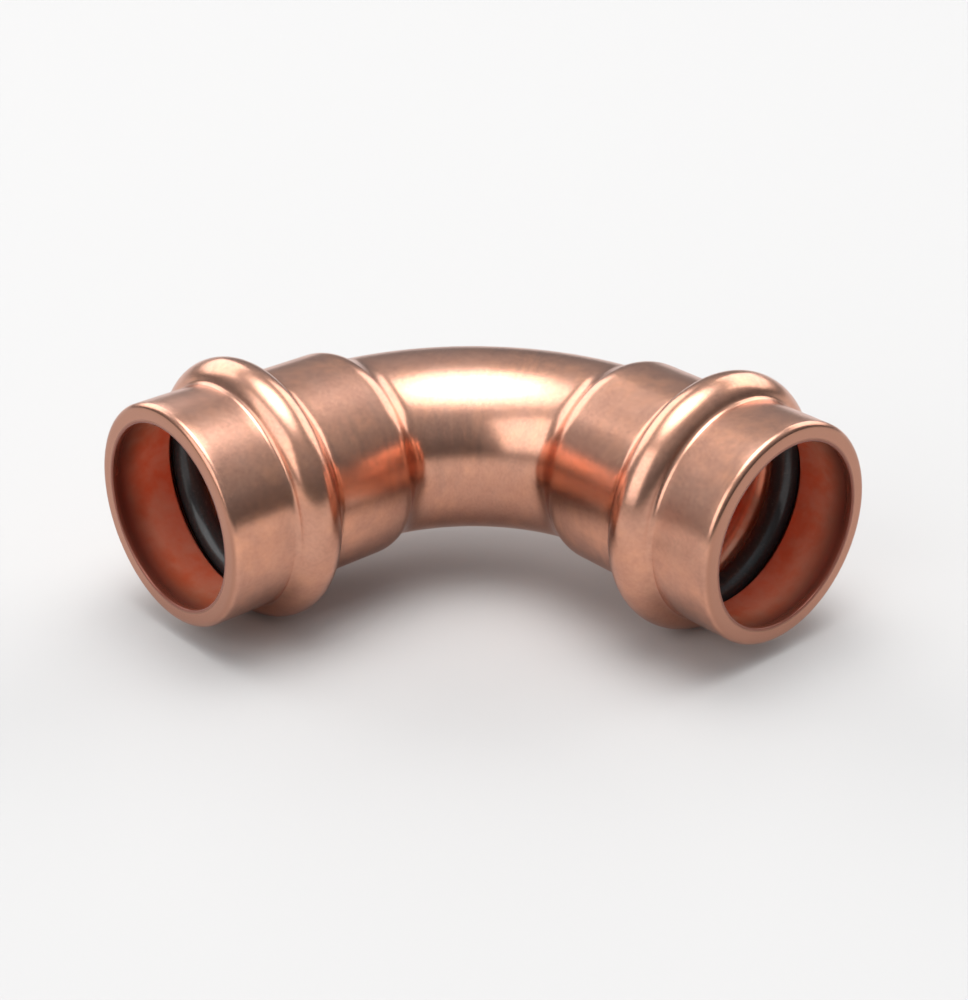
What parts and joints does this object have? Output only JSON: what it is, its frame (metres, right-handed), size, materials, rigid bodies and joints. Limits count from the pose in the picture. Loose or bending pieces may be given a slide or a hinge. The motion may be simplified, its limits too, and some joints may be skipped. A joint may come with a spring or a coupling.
{
  "type": "press fit elbow",
  "caption": "Right-angle press elbow of copper tube: a bend with a beaded press socket at each end and a rubber seal ring in each bead.",
  "frame": {"origin": "on the right-hand socket's axis, in the plane where its parallel bore starts behind the seal ring and the end of the inserted tube comes to rest", "axes": "+X out of the right-hand socket, -Y out of the left-hand socket, +Z square to the plane of the two socket axes and up as pictured; the axes cross 21.39 mm behind the origin, at X = -0.02139"},
  "size_m": [0.0562, 0.0563, 0.0272],
  "materials": {
    "copper": "satin drawn copper, bare",
    "seal_rubber": "moulded black rubber, lightly lubricated"
  },
  "bodies": {
    "root": {"elbow_body": "copper", "seal_ring_right": "seal_rubber", "seal_ring_left": "seal_rubber"}
  },
  "joints": []
}
